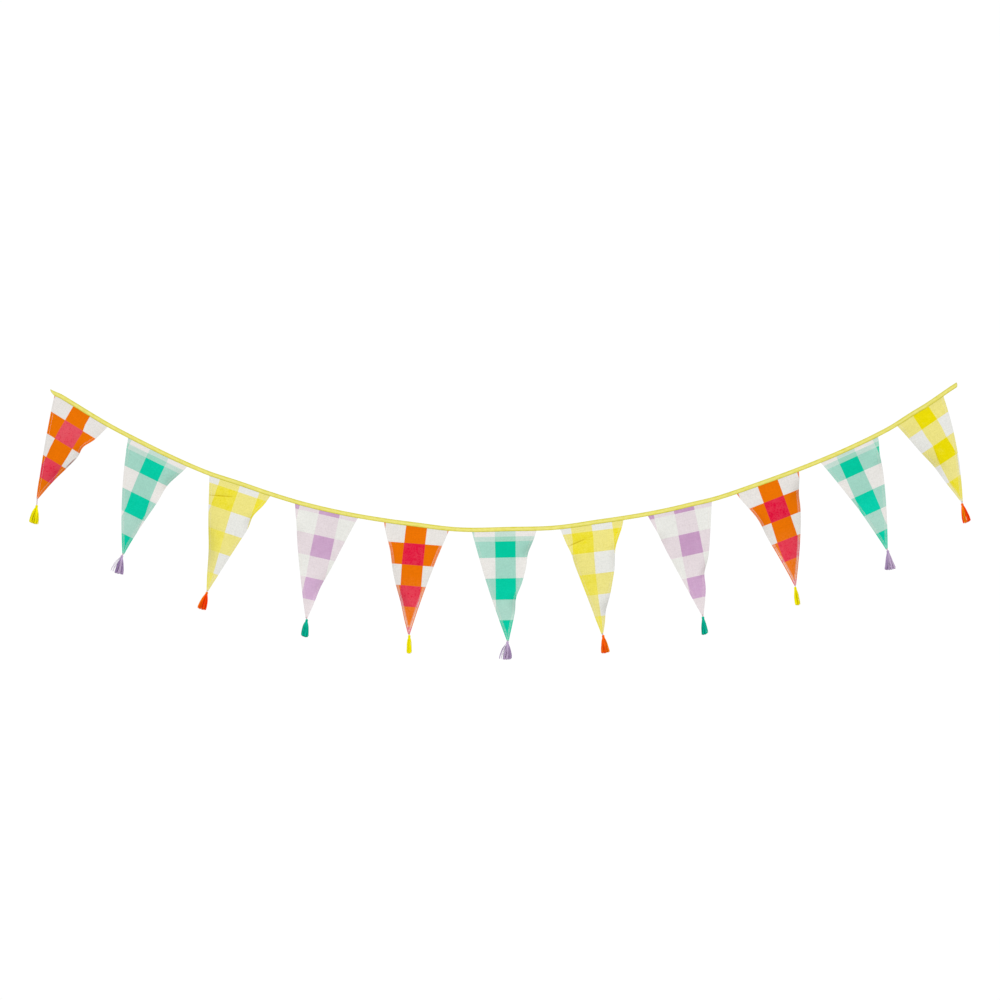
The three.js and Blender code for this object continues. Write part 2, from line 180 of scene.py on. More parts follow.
# at: the upper left corner, along the tape. width: along the tape. depth: from the tape to the tip.
# lean: the tip's shift along the tape. bow: how far the left and the right side swell. belly, turn
# and swing: how far the middle, the right side and the tip stand forwards.
PENNANTS = table(
    "at width depth lean bow belly turn swing",
    (20, 192, 303, 21, (-2, 4), 9, -7, 6),
    (285, 204, 333, 41, (1, 1), -8, 8, -10),
    (563, 199, 342, 8, (-1, 0), 10, 4, 8),
    (842, 200, 339, 14, (1, 0), -6, -6, 9),
    (1124, 203, 336, 20, (1, 0), 8, 5, -7),
    (1398, 200, 342, 5, (4, -2), -9, -5, 10),
    (1672, 198, 342, -17, (3, -4), 9, 6, -8),
    (1947, 203, 339, -3, (2, 2), -7, 7, 6),
    (2230, 206, 330, -28, (0, 4), 9, -8, -9),
    (2509, 195, 330, -23, (0, 3), -8, -6, 8),
    (2771, 171, 308, -46, (7, 0), 8, 18, 10),
)

# Curled side edges: side is -1 at the left and 1 at the right, at and span run down the pennant,
# and lift is forwards.
CURLS = table(
    "pennant side at span lift",
    (1, 1, 92, 26, 27),
    (1, 1, 230, 60, -20),
    (2, 1, 80, 45, -28),
    (3, 1, 75, 30, 26),
    (3, -1, 220, 60, -16),
    (4, -1, 65, 30, 13),
    (4, 1, 235, 45, -19),
    (5, -1, 84, 42, 21),
    (5, -1, 240, 40, -15),
    (6, 1, 70, 30, -22),
    (6, 1, 207, 32, 25),
    (7, -1, 80, 24, 16),
    (7, 1, 82, 45, 29),
    (7, 1, 270, 30, -19),
    (8, -1, 60, 30, 13),
    (8, 1, 212, 34, -26),
    (9, -1, 94, 50, 24),
    (9, 1, 66, 34, -17),
    (10, 1, 52, 32, 20),
    (10, -1, 190, 55, -13),
    (11, -1, 168, 42, -20),
)

# Creases in the cloth: start and end are across and down, in mm from the middle of the top.
# pressed is how strongly painted shade marks the fold as a line, 0 to 1.
CREASES = table(
    "pennant start end width height pressed",
    (1, (59.5, 133), (47.5, 177), 3.5, 2.6, 1),
    (3, (-84, 58), (-8, 38), 4, -1.8, 0.9),
    (3, (-62, 74), (-14, 62), 5, 1.2, 0),
    (4, (30, 250), (-14, 214), 8, 1.4, 0),
    (7, (-86, 57), (-24, 40), 4, -1.8, 0.9),
    (7, (-24, 42), (0, 32), 5, -1, 0.3),
    (8, (38, 186), (-6, 232), 8, 1.6, 0),
    (11, (-26, 120), (-41, 172), 4, -2, 0.35),
    (11, (-32, 222), (2, 190), 7, 1.4, 0),
)

# Where each cut lies on its checked cloth. lines: how far down the lines between the rows of
# checks are. first: 0 where the row under the first line is a coloured one, and 1 where the row
# above it is. tilt: how far the lines drop from left to right, as a slope. washed: how far the
# double checks are paler at the depths of WASHED_AT, 0 to 1, partly faded and partly painted
# light against the shade on the lower cloth. hems: how clearly the left and the right hem show.
# paling: how much the cut pales towards its tip, partly as painted light. 1 is usual for the cloth.
CUTS = table(
    "first tilt lines washed hems paling",
    (0, 0.02, (48.8, 113.6, 176.7, 241), (0.8, 0.5, 0.4), (0, 0.15), 0.5),
    (0, 0, (15.5, 82, 146.6, 211.5, 275.4), (0.4, 0.45, 0.3), (1, 1), 1),
    (0, 0, (19.2, 84.9, 152.2, 217.2, 284), (0.35, 0.85, 0.95), (1, 1), 1),
    (1, 0, (13.7, 79.8, 146.8, 213.6, 280.6), (0.4, 0.7, 0.9), (1, 1), 1),
    (0, -0.05, (53, 120.2, 185.4, 250.8, 314.5), (0.1, 0.4, 0.5), (1, 1), 1),
    (0, 0, (16.2, 81.6, 146.3, 212.4, 276.4), (0, 0.4, 0.3), (1, 1), 1),
    (0, 0.02, (19.7, 85.4, 152.9, 218.2, 285.8), (0.3, 0.6, 0.6), (1, 1), 1),
    (1, 0, (12.5, 79.9, 147.5, 215.9, 282.9), (0, 0.3, 0.5), (1, 1), 1),
    (0, -0.025, (54.1, 120.6, 185, 249.1, 311.4), (0.15, 0.4, 0.4), (1, 1), 1),
    (0, 0, (12.5, 77.7, 142.1, 207.2, 272.6), (0.1, 0.8, 0.5), (1, 1), 1),
    (1, -0.03, (50, 112, 172.6, 233), (0, 0, 0.35), (4, 2.5), 1),
)
WASHED_AT = (0.3, 0.55, 0.85)

# The pale lines along a hem: distance from the edge and half width, how strong the line is high
# on the cloth, and how much stronger it is near the tip.
HEM_LINES = [(4.4, 2.6, 0.25, 0.6), (0, 2.6, 0.55, -0.35), (8.6, 1.4, 0.3, 0)]

# One coloured column of each pennant: depth, left side and right side, from the middle of its top
COLUMN_SIDES = [
    [(28, -29, 32.2), (56, -28.3, 37.6), (84, -28.7, 36.2), (146, -24.8, 35.3), (177, -20.6, 34)],
    [(34, -26, 38.5), (78, -24.6, 39.1), (143, -21.2, 42.7), (196, -15, 50.9)],
    [(42, -65.2, 0), (84, -66.5, -0.3), (128, -67.5, 1), (215, -66, 5.6), (277, -61.5, 8.3)],
    [(40, -21.4, 43.3), (143, -19.7, 44.2), (212, -16.6, 43)],
    [(28, -31.9, 33.8), (54, -31.3, 34.4), (118, -30.2, 36), (184, -25.6, 38.9), (252, -22.5, 39.5)],
    [(17, -29, 35.2), (82, -28.8, 34.4), (148, -29.5, 33.7), (213, -30.3, 33.5)],
    [(40, -66.2, -1.2), (84, -72.8, -5.9), (152, -74, -10.4), (216, -75.5, -12.2), (250, -77, -13)],
    [(40, -19.8, 44.2), (76, -21.7, 43.4), (140, -24.4, 42), (190, -25.8, 39), (237, -26.6, 28)],
    [(53, -33.7, 32.4), (115, -33.4, 32), (184, -36.1, 31), (240, -36, 31.2), (250, -60, 31.2)],
    [(53, -46.3, 14.6), (143, -47.4, 15), (202, -48, 13.2), (237, -51.5, 9.6)],
    [(47, -27.2, 29.4), (78, -28.5, 28), (109, -26.7, 23.3), (171, -38.3, 22.5), (245, -45.5, -12)],
]

# tie: from the tip of the pennant to the top of the tassel. left and right: from there to the
# lower corners. All are to the right and down, in mm. opening: above 1 the tassel is wide early
# on its way down, below 1 late. loose: strands hang apart at its left.
TASSELS = table(
    "tie left right opening loose",
    ((-1, 20.5), (-24, 51), (3, 59), 1.8, False),
    ((-2.5, 2.8), (-33, 49), (1, 60), 1.6, True),
    ((-0.5, 3), (-30, 48), (-5, 56), 1.8, False),
    ((1.5, 3.2), (-17, 50), (3, 55), 2.4, False),
    ((1.2, 1.8), (-7, 55), (6, 55), 3, False),
    ((-0.5, 0), (-24, 54), (10, 55), 1.6, True),
    ((2.5, 2.5), (-6, 56), (20, 52), 1.5, False),
    ((0.5, 3.5), (-4, 56), (15, 51), 1.8, False),
    ((-0.5, 4.5), (0, 55), (15, 54), 2.8, False),
    ((2.5, 3), (-9, 60), (24, 56), 0.9, False),
    ((-0.5, 3.5), (4, 62), (27, 52), 1.8, False),
)

# The bound head: share of its length down, share of its widest radius
HEAD_PROFILE = [(0, 0.3), (0.1, 0.75), (0.3, 1), (0.6, 0.95), (0.8, 0.75), (1, 0.8)]


def dye(red, green, blue):
    """A colour given as it looks on a screen, 0 to 255, as the linear colour of a material."""
    shares = [value / 255 for value in (red, green, blue)]
    lit = [s / 12.92 if s <= 0.04045 else ((s + 0.055) / 1.055) ** 2.4 for s in shares]
    return (*lit, 1.0)


# Cloths: plain is where two white threads cross, single where one is coloured, double where both
# are, and washed where those are paler, partly faded and partly painted light. border: how far
# the cloth is woven paler below its first coloured line. hem: how clearly the pale turned edges
# show. fade: how much paler the single checks are near the tip. lit: how much lighter the cloth
# is painted there, as painted light against the shade on the lower cloth. crease: the painted
# shade along a pressed crease.
CLOTHS = table(
    "name border hem fade lit plain single double washed crease",
    (
        "orange", 0, 0.8, 0.03, 0.07,
        dye(228, 224, 220), dye(232, 114, 0), dye(222, 28, 64), dye(226, 92, 104), dye(132, 40, 18),
    ),
    (
        "green", 14.5, 0.35, 0.12, 0,
        dye(231, 228, 224), dye(161, 211, 195), dye(0, 197, 157), dye(14, 210, 176), dye(60, 160, 140),
    ),
    (
        "yellow", 0, 0.12, 0.05, 0.02,
        dye(229, 229, 224), dye(234, 224, 132), dye(232, 217, 8), dye(238, 228, 112), dye(196, 168, 0),
    ),
    (
        "lilac", 0, 0.12, 0.1, 0.04,
        dye(230, 230, 225), dye(225, 214, 218), dye(195, 153, 191), dye(208, 175, 206), dye(190, 168, 190),
    ),
)

# main and dark: the tones between which the locks of one tassel differ. loose: its stray strands.
YARNS = table(
    "name main dark loose",
    ("yellow", dye(255, 248, 0), dye(236, 216, 0), dye(255, 245, 60)),
    ("purple", dye(214, 192, 222), dye(164, 136, 184), dye(236, 230, 240)),
    ("orange", dye(255, 150, 8), dye(255, 52, 0), dye(255, 140, 30)),
    ("teal", dye(0, 206, 174), dye(0, 160, 134), dye(40, 200, 170)),
)


def acting(operation, swapped=False):
    """An operator between an amount and another value."""

    def act(amount, other):
        pair = (other, amount) if swapped else (amount, other)
        return amount.bench.math(operation, *pair)

    return act


class Amount:
    """A number that changes over a surface. Plain arithmetic on it adds Math nodes."""

    def __init__(self, bench, socket):
        self.bench = bench
        self.socket = socket

    __add__ = acting("ADD")
    __radd__ = acting("ADD", swapped=True)
    __sub__ = acting("SUBTRACT")
    __rsub__ = acting("SUBTRACT", swapped=True)
    __mul__ = acting("MULTIPLY")
    __rmul__ = acting("MULTIPLY", swapped=True)
    __truediv__ = acting("DIVIDE")
    __lt__ = acting("LESS_THAN")
    __gt__ = acting("GREATER_THAN")


class Bench:
    """Where the nodes of one tree are put together."""

    def __init__(self, tree):
        self.tree = tree

    def feed(self, socket, value):
        value = value.socket if isinstance(value, Amount) else value
        if isinstance(value, bpy.types.NodeSocket):
            self.tree.links.new(value, socket)
        else:
            socket.default_value = value

    def node(self, kind, settings=None, sockets=None):
        made = self.tree.nodes.new(kind)
        for name, value in (settings or {}).items():
            setattr(made, name, value)
        for key, value in (sockets or {}).items():
            self.feed(made.inputs[key], value)
        return made

    def math(self, operation, *values):
        made = self.node("ShaderNodeMath", {"operation": operation}, dict(enumerate(values)))
        return Amount(self, made.outputs[0])

    def mix(self, share, first, second):
        made = self.node("ShaderNodeMix", {"data_type": "RGBA"}, {0: share, 6: first, 7: second})
        return made.outputs[2]

    def attribute(self, name):
        made = self.node("ShaderNodeAttribute", {"attribute_name": name})
        return Amount(self, made.outputs["Fac"])

    def parts(self, vector):
        made = self.node("ShaderNodeSeparateXYZ", None, {0: vector})
        return [Amount(self, socket) for socket in made.outputs]

    def vector(self, x, y, z=0.0):
        return self.node("ShaderNodeCombineXYZ", None, {0: x, 1: y, 2: z}).outputs[0]

    def in_space(self):
        return self.node("ShaderNodeTexCoord").outputs["Object"]

    def noise(self, vector, scale, detail=2.0):
        sockets = {"Vector": vector, "Scale": scale, "Detail": detail}
        made = self.node("ShaderNodeTexNoise", None, sockets)
        return Amount(self, made.outputs[0])

    def toned(self, colour, value, vivid=1.0):
        """A colour made lighter or darker, and more or less vivid, where 1 leaves it as it is."""
        sockets = {"Color": colour, "Value": value, "Saturation": vivid}
        return self.node("ShaderNodeHueSaturation", None, sockets).outputs[0]

    def held(self, amount):
        """An amount kept between 0 and 1."""
        return self.math("MINIMUM", self.math("MAXIMUM", amount, 0.0), 1.0)

    def stripe(self, distance, place, half_width):
        """1 where a distance in metres is at a place in mm, falling to 0 at half_width mm from it."""
        away = self.math("ABSOLUTE", distance - place * MM)
        return self.math("MAXIMUM", 1.0 - away / (half_width * MM), 0.0)


def new_finish(name, roughness, sheen):
    """A material, its bench and its surface shader."""
    material = bpy.data.materials.new(name)
    material.use_nodes = True
    surface = material.node_tree.nodes["Principled BSDF"]
    surface.inputs["Roughness"].default_value = roughness
    surface.inputs["Sheen Weight"].default_value = sheen
    surface.inputs["Sheen Roughness"].default_value = SHEEN_SPREAD
    surface.inputs["Specular IOR Level"].default_value = GLOSS
    return material, Bench(material.node_tree), surface


def dress(bench, surface, colour, height, strength, distance):
    """Gives a surface its colour and its relief, where distance is in mm."""
    bench.feed(surface.inputs["Base Color"], colour)
    sockets = {"Strength": strength, "Distance": distance * MM, "Height": height}
    bench.feed(surface.inputs["Normal"], bench.node("ShaderNodeBump", None, sockets).outputs[0])


def weave(bench, across, down):
    """Plain weave: how high the threads stand, whether the warp is on top, and thread streaks."""
    pitch = math.pi / (THREAD_PITCH * MM)
    crossing = bench.math("SINE", across * pitch) * bench.math("SINE", down * pitch)
    height = bench.math("POWER", bench.math("ABSOLUTE", crossing), 0.5)
    warp_streak = bench.noise(bench.vector(across * STREAKS_ACROSS, down * STREAKS_ALONG), 1.0)
    weft_streak = bench.noise(bench.vector(across * STREAKS_ALONG, down * STREAKS_ACROSS, 7.0), 1.0)
    return height, crossing > 0.0, warp_streak + weft_streak - 1.0


def gingham(cloth):
    """Checked cotton, woven with white and coloured threads in both directions."""
    material, bench, surface = new_finish(f"{cloth['name']} gingham", 0.9, 0.02)
    on_cloth = bench.node("ShaderNodeUVMap", {"uv_map": "cloth"}).outputs[0]
    in_space = bench.in_space()
    across, down, _ = bench.parts(on_cloth)
    height, warp_on_top, streak = weave(bench, across, down)
    wander = (bench.noise(in_space, 900.0) - 0.5) * (STRAY * MM)
    repeat = 2 * CHECK * MM
    warp = bench.math("FRACT", (across + wander) / repeat + 8.0) < 0.5
    weft = bench.math("FRACT", (down + wander) / repeat + 8.0) < 0.5
    # lower rises towards the tip; it drives the fading, the hem lines and the painted light there
    lower = bench.held((bench.attribute("lowness") - PALES_FROM) / PALES_OVER)
    single = bench.mix(lower * cloth["fade"], cloth["single"], cloth["plain"])
    patch = (bench.noise(in_space, 40.0, 3.0) - 0.5) * 0.6
    # the double checks are mixed towards the paler colour by depth: partly fading, partly painted light
    # against the shade on the lower cloth
    double = bench.mix(bench.held(bench.attribute("washed") + patch), cloth["double"], cloth["washed"])
    colour = bench.mix(bench.math("MAXIMUM", warp, weft), cloth["plain"], single)
    colour = bench.mix(warp * weft, colour, double)
    if cloth["border"]:
        colour = bench.mix((down < cloth["border"] * MM) * BORDER_PALE, colour, cloth["plain"])

    from_edge = bench.attribute("from_edge")
    pale_edge = 0.0
    for place, half_width, high, more in HEM_LINES:
        pale_edge = bench.stripe(from_edge, place, half_width) * (lower * more + high) + pale_edge
    mottle = bench.noise(in_space, 230.0, 3.0) - 0.5
    # how strongly the pale lines along the hems show, broken up by the mottle
    hem_paling = bench.attribute("hem_shows") * cloth["hem"] * (mottle * 2.0 + 1.0)
    colour = bench.mix(bench.held(pale_edge) * hem_paling, colour, cloth["plain"])
    slub = bench.noise(bench.vector(across * 30.0, down * 260.0), 1.0, 2.0) - 0.5
    # a line of painted shade along each pressed crease, also sunk into the relief
    crease = bench.stripe(bench.attribute("crease_away"), 0.0, CREASE_SHADE_LINE)
    crease = crease * bench.attribute("crease_shade_shows")
    # height * 0.04 lightens the thread crowns: painted shade in the hollows of the weave
    lift = warp_on_top * 0.04 + streak * 0.16 + height * 0.04 + mottle * 0.24 + slub * 0.08
    colour = bench.mix(bench.held(crease) * 0.95, colour, cloth["crease"])
    # lower * lit paints the cloth lighter towards the tip: painted light against the shade on the tilted
    # lower cloth
    lift = lift + lower * cloth["lit"] + 0.96
    shaded = bench.toned(colour, lift, bench.held(mottle * -1.0) * 0.25 + 1.0)
    crumple = bench.noise(in_space, 60.0, 4.0)
    relief = height * 0.5 + streak * 0.6 + crumple * 2.6 + mottle * 0.8 - crease * 1.2
    dress(bench, surface, shaded, relief, 0.4, 0.45)
    return material


def tape_cotton():
    """The tape's plain weave, painted lighter along its middle and darker along its pressed edges: painted
    light and painted shade on its rounded folds.
    """
    material, bench, surface = new_finish("tape cotton", 0.9, 0.02)
    on_cloth = bench.node("ShaderNodeUVMap", {"uv_map": "cloth"}).outputs[0]
    along, round_strip, _ = bench.parts(on_cloth)
    height, _, streak = weave(bench, along, round_strip)
    from_fold = bench.math("ABSOLUTE", round_strip) / (TAPE_WIDTH * MM)
    from_middle = bench.math("ABSOLUTE", from_fold - 0.5) * 2.0
    edge = bench.math("POWER", from_middle, 1.7)
    blotch = bench.noise(bench.vector(along, round_strip * 3.0), 60.0, 3.0) - 0.5
    # painted light along the middle of the strip, painted shade towards its folded edges
    colour = bench.mix(edge, dye(236, 228, 128), dye(207, 201, 66))
    # height * 0.05 lightens the thread crowns: painted shade in the hollows of the weave
    lift = streak * 0.16 + height * 0.05 + blotch * 0.3 + 0.96
    shaded = bench.toned(colour, lift, bench.held(blotch * -1.0) * 0.6 + 1.0)
    seam = bench.math("ABSOLUTE", from_fold - TAPE_SEAM_DOWN / TAPE_WIDTH) < PUCKER
    pucker = bench.math("SINE", along * (2 * math.pi / (STITCH_PITCH * MM))) * seam
    relief = height * 0.4 + streak * 0.6 + blotch * 1.4 + pucker * 0.3
    dress(bench, surface, shaded, relief, 0.4, 0.4)
    return material


def yarn(shade):
    """Twisted yarn: its plies wind round each strand, and the strands differ in tone."""
    material, bench, surface = new_finish(f"{shade['name']} yarn", 0.8, 0.03)
    side = bench.node("ShaderNodeAttribute", {"attribute_name": "side"}).outputs["Vector"]
    side_x, side_y, _ = bench.parts(side)
    turn = bench.attribute("along") * (2 * math.pi / (PLY_PITCH * MM))
    twist = bench.math("SINE", turn) * side_x + bench.math("COSINE", turn) * side_y
    tone = bench.attribute("tone")
    colour = bench.mix(bench.held(tone), shade["main"], shade["dark"])
    colour = bench.mix(bench.held(tone - 1.0), colour, shade["loose"])
    # twist also lightens the ply crowns and darkens the grooves between plies: painted shade
    dress(bench, surface, bench.toned(colour, twist * 0.1 + 1.0), twist, 0.5, 0.12)
    return material


def sewing_thread(name, colour):
    material, bench, surface = new_finish(name, 0.7, 0.05)
    fibre = bench.noise(bench.in_space(), 2500.0)
    dress(bench, surface, bench.toned(colour, fibre * 0.3 + 0.86), fibre, 0.4, 0.1)
    return material


def smoothstep(value, low, high):
    share = np.clip((value - low) / (high - low), 0, 1)
    return share * share * (3 - 2 * share)


def tape_height(x):
    """How high the tape's upper edge is at x."""
    knots = np.array(TAPE_BENDS, float)
    row = np.clip(np.searchsorted(knots[:, 0], x, side="right") - 1, 0, len(knots) - 2)
    share = smoothstep(x, knots[row, 0], knots[row + 1, 0])
    bend = knots[row, 1] + (knots[row + 1, 1] - knots[row, 1]) * share
    return SAG * (((x - LOWEST_X) / LOWEST_X) ** 2 - 1) + bend


EDGE_X = np.linspace(0, SPAN, 3001)
EDGE_STEPS = np.hypot(np.diff(EDGE_X), np.diff(tape_height(EDGE_X)))
EDGE_ALONG = np.concatenate([[0], np.cumsum(EDGE_STEPS)])
TAPE_LENGTH = EDGE_ALONG[-1]


def tape_point(along, down, back=0.0):
    """A point of the tape: along its length, down from its upper edge, and back from its middle."""
    x = np.interp(along, EDGE_ALONG, EDGE_X)
    before, after = np.clip(x - SLOPE_STEP, 0, SPAN), np.clip(x + SLOPE_STEP, 0, SPAN)
    slope = (tape_height(after) - tape_height(before)) / (after - before)
    run = np.sqrt(1 + slope**2)
    y = np.zeros_like(x) + back
    return np.stack([x + down * slope / run, y, tape_height(x) - down / run], axis=-1)


def pennant_frame(row):
    """The upper corners of a pennant, the direction across and the direction down."""
    left = tape_point(np.array(float(row["at"])), TAPE_WIDTH)
    right = tape_point(np.array(float(row["at"] + row["width"])), TAPE_WIDTH)
    across = (right - left) / np.linalg.norm(right - left)
    return left, right, across, np.array([across[2], 0, -across[0]])


def creases_of(number, side, down):
    """Each crease of a pennant with the signed distance of points from it and its fade to its ends."""
    for crease in [c for c in CREASES if c["pennant"] == number]:
        start, end = np.array(crease["start"], float), np.array(crease["end"], float)
        length = np.linalg.norm(end - start)
        way = (end - start) / length
        share = ((side - start[0]) * way[0] + (down - start[1]) * way[1]) / length
        away = (side - start[0]) * way[1] - (down - start[1]) * way[0]
        beyond = length * np.maximum(np.maximum(-share, share - 1), 0)
        yield crease, away, beyond, np.sin(math.pi * np.clip(share, 0.02, 0.98)) ** 0.5


def crease_height(number, side, down):
    """How far the creases of one pennant stand out at points across and down."""
    total = np.zeros_like(side)
    for crease, away, beyond, fade in creases_of(number, side, down):
        total += crease["height"] * fade * np.exp(-((np.hypot(away, beyond) / crease["width"]) ** 2))
    return total


def crease_shade_lines(number, seen):
    """For the finish: the distance from the nearest pressed crease, and how clearly its line of painted
    shade shows.
    """
    nearest, shows = np.full(seen.shape[:-1], FAR), np.zeros(seen.shape[:-1])
    for crease, away, beyond, fade in creases_of(number, seen[..., 0], seen[..., 1]):
        near = (np.abs(away) < np.abs(nearest)) & (beyond < CREASE_PAST)
        reached = near & (crease["pressed"] > 0)
        nearest = np.where(reached, away, nearest)
        shows = np.where(reached, crease["pressed"] * np.where(beyond > 0, 0, fade), shows)
    return nearest, shows


def ripple(number, side, down):
    """Soft unevenness of hung cotton: waves about 1 mm high, different on each pennant."""
    phase = number * 1.7
    wide = np.sin(side / 17 + down / 61 + phase) * np.sin(down / 43 - phase)
    slant = np.sin(side / 11 - down / 23 + 2 * phase) * np.sin(down / 19 + phase)
    return 0.9 * wide + 0.35 * slant


def cloth_point(number, share, depth, worked=True):
    """A point of a pennant's cloth. share is 0 at its left edge and 1 at its right one."""
    row = PENNANTS[number - 1]
    left, right, across, down = pennant_frame(row)
    share, depth = np.broadcast_arrays(np.asarray(share, float), np.asarray(depth, float))
    top = tape_point(row["at"] + share * row["width"], TAPE_WIDTH + np.minimum(depth, 0))
    t = np.maximum(depth, 0) / row["depth"]
    swell = np.sin(math.pi * t)
    half = (row["width"] + (TIP_WIDTH - row["width"]) * t) / 2
    left_edge = -half - row["bow"][0] * swell
    right_edge = half + row["bow"][1] * swell
    free = smoothstep(depth, 0, FREE_FROM)
    side = 2 * share - 1
    shift = row["lean"] * t**2
    forward = row["belly"] * swell * (1 - side**2) + row["turn"] * side * swell + row["swing"] * t**2
    for curl in [c for c in CURLS if c["pennant"] == number]:
        from_edge = (right_edge - left_edge) * (1 - share if curl["side"] > 0 else share)
        hold = np.clip(1 - from_edge / CURL_REACH, 0, 1)
        fade = np.exp(-(((depth - curl["at"]) / curl["span"]) ** 2))
        draw = CURL_REACH - math.sqrt(CURL_REACH**2 - curl["lift"] ** 2)
        shift = shift - curl["side"] * draw * fade * hold * free
        forward = forward + curl["lift"] * fade * hold**2
    sideways = left_edge + (right_edge - left_edge) * share + shift
    if worked:
        forward = forward + crease_height(number, sideways, depth) + ripple(number, sideways, depth)
    even_top = left + (right - left) * share[..., None]
    point = (left + right) / 2 + sideways[..., None] * across + depth[..., None] * down
    point = point + (top - even_top) * (1 - t)[..., None]
    point[..., 1] -= forward * free
    return np.where((depth <= 0)[..., None], top, point)


def cloth_normal(number, share, depth):
    """The direction out of the front of the cloth."""
    share, depth = np.broadcast_arrays(np.asarray(share, float), np.asarray(depth, float))
    across = cloth_point(number, np.minimum(share + 0.01, 1), depth)
    across = across - cloth_point(number, np.maximum(share - 0.01, 0), depth)
    down = cloth_point(number, share, depth + 1) - cloth_point(number, share, np.maximum(depth - 1, 0.01))
    normal = np.cross(down, across)
    normal = normal / np.linalg.norm(normal, axis=-1, keepdims=True)
    return np.where((depth <= 0)[..., None], np.array([0.0, -1.0, 0.0]), normal)


def cloth_width(row, depth):
    return row["width"] + (TIP_WIDTH - row["width"]) * np.clip(depth / row["depth"], 0, 1)


def as_seen(number, points):
    """Points of a pennant as they are seen from the front: across and down from its top's middle."""
    left, right, across, down = pennant_frame(PENNANTS[number - 1])
    from_middle = points - (left + right) / 2
    return np.stack([from_middle @ across, from_middle @ down], axis=-1)


def on_the_checks(number, seen):
    """Where points as seen lie on the checked cloth: each coloured stripe starts at an even check."""
    chart = CUTS[number - 1]
    x, y = seen[..., 0], seen[..., 1]
    depths, lefts, rights = np.array(COLUMN_SIDES[number - 1], float).T
    left, right = np.interp(y, depths, lefts), np.interp(y, depths, rights)
    inside = CHECK * (x - left) / (right - left)
    across = np.where(x < left, x - left, np.where(x > right, CHECK + x - right, inside))
    lines = np.array(chart["lines"], float)
    woven = CHECK * (chart["first"] + np.arange(len(lines)))
    lines = np.concatenate([[lines[0] - CHECKS_PAST], lines, [lines[-1] + CHECKS_PAST]])
    woven = np.concatenate([[woven[0] - CHECKS_PAST], woven, [woven[-1] + CHECKS_PAST]])
    return np.stack([across, np.interp(y - chart["tilt"] * x, lines, woven)], axis=-1)


def placed(name, data):
    """An object in the scene."""
    made = bpy.data.objects.new(name, data)
    bpy.context.scene.collection.objects.link(made)
    return made


def new_piece(name, points, edges, faces, values=None):
    """A plain mesh from points in mm, with the numbers that each point keeps, and its object."""
    mesh = bpy.data.meshes.new(name)
    mesh.from_pydata((points * MM).tolist(), edges, faces)
    for label, numbers in (values or {}).items():
        attribute = mesh.attributes.new(label, "FLOAT", "POINT")
        attribute.data.foreach_set("value", np.asarray(numbers, np.float32).ravel())
    return placed(name, mesh), mesh


def mesh_piece(name, points, faces, material, uv=None, values=None, thickness=None):
    """A piece from points in mm. uv and values are by point; thickness turns a sheet into cloth."""
    piece, mesh = new_piece(name, points, [], faces, values)
    if uv is not None:
        layer = mesh.uv_layers.new(name="cloth")
        corners = np.zeros(len(mesh.loops), np.int32)
        mesh.loops.foreach_get("vertex_index", corners)
        layer.data.foreach_set("uv", (uv[corners] * MM).astype(np.float32).ravel())
    mesh.materials.append(material)
    mesh.shade_smooth()
    if thickness:
        solidify = piece.modifiers.new("cloth thickness", "SOLIDIFY")
        solidify.thickness = thickness * MM
        solidify.offset = 0
    return piece


def grid_faces(rows, columns):
    """The cells of a grid of points, facing the side that its rows go down and columns right on."""
    return [
        (row * columns + i, (row + 1) * columns + i, (row + 1) * columns + i + 1, row * columns + i + 1)
        for row in range(rows - 1)
        for i in range(columns - 1)
    ]


def hem_columns():
    """The columns of a left hem, from the raw edge at the back round the folded edge to the front.

    Each is its distance in from the folded edge, and how far it lies behind the front layer.
    """
    behind = [(inset, 2 * HEM_FOLD) for inset in HEM_INSETS]
    front = [(inset, 0) for inset in HEM_INSETS[::-1]]
    return np.array([*behind, (0, HEM_FOLD), *front], float).T


def turn_under(number, seen, depth, columns, edge_share):
    """Mirrors the back columns of a hem about the folded edge, as the checks run on round it."""
    fold = as_seen(number, cloth_point(number, edge_share, depth[:, columns], worked=False))
    way = np.gradient(fold, axis=0)
    way = way / np.linalg.norm(way, axis=-1, keepdims=True)
    off = seen[:, columns] - fold
    off = off - way * (off * way).sum(-1, keepdims=True)
    seen[:, columns] = seen[:, columns] - 2 * off


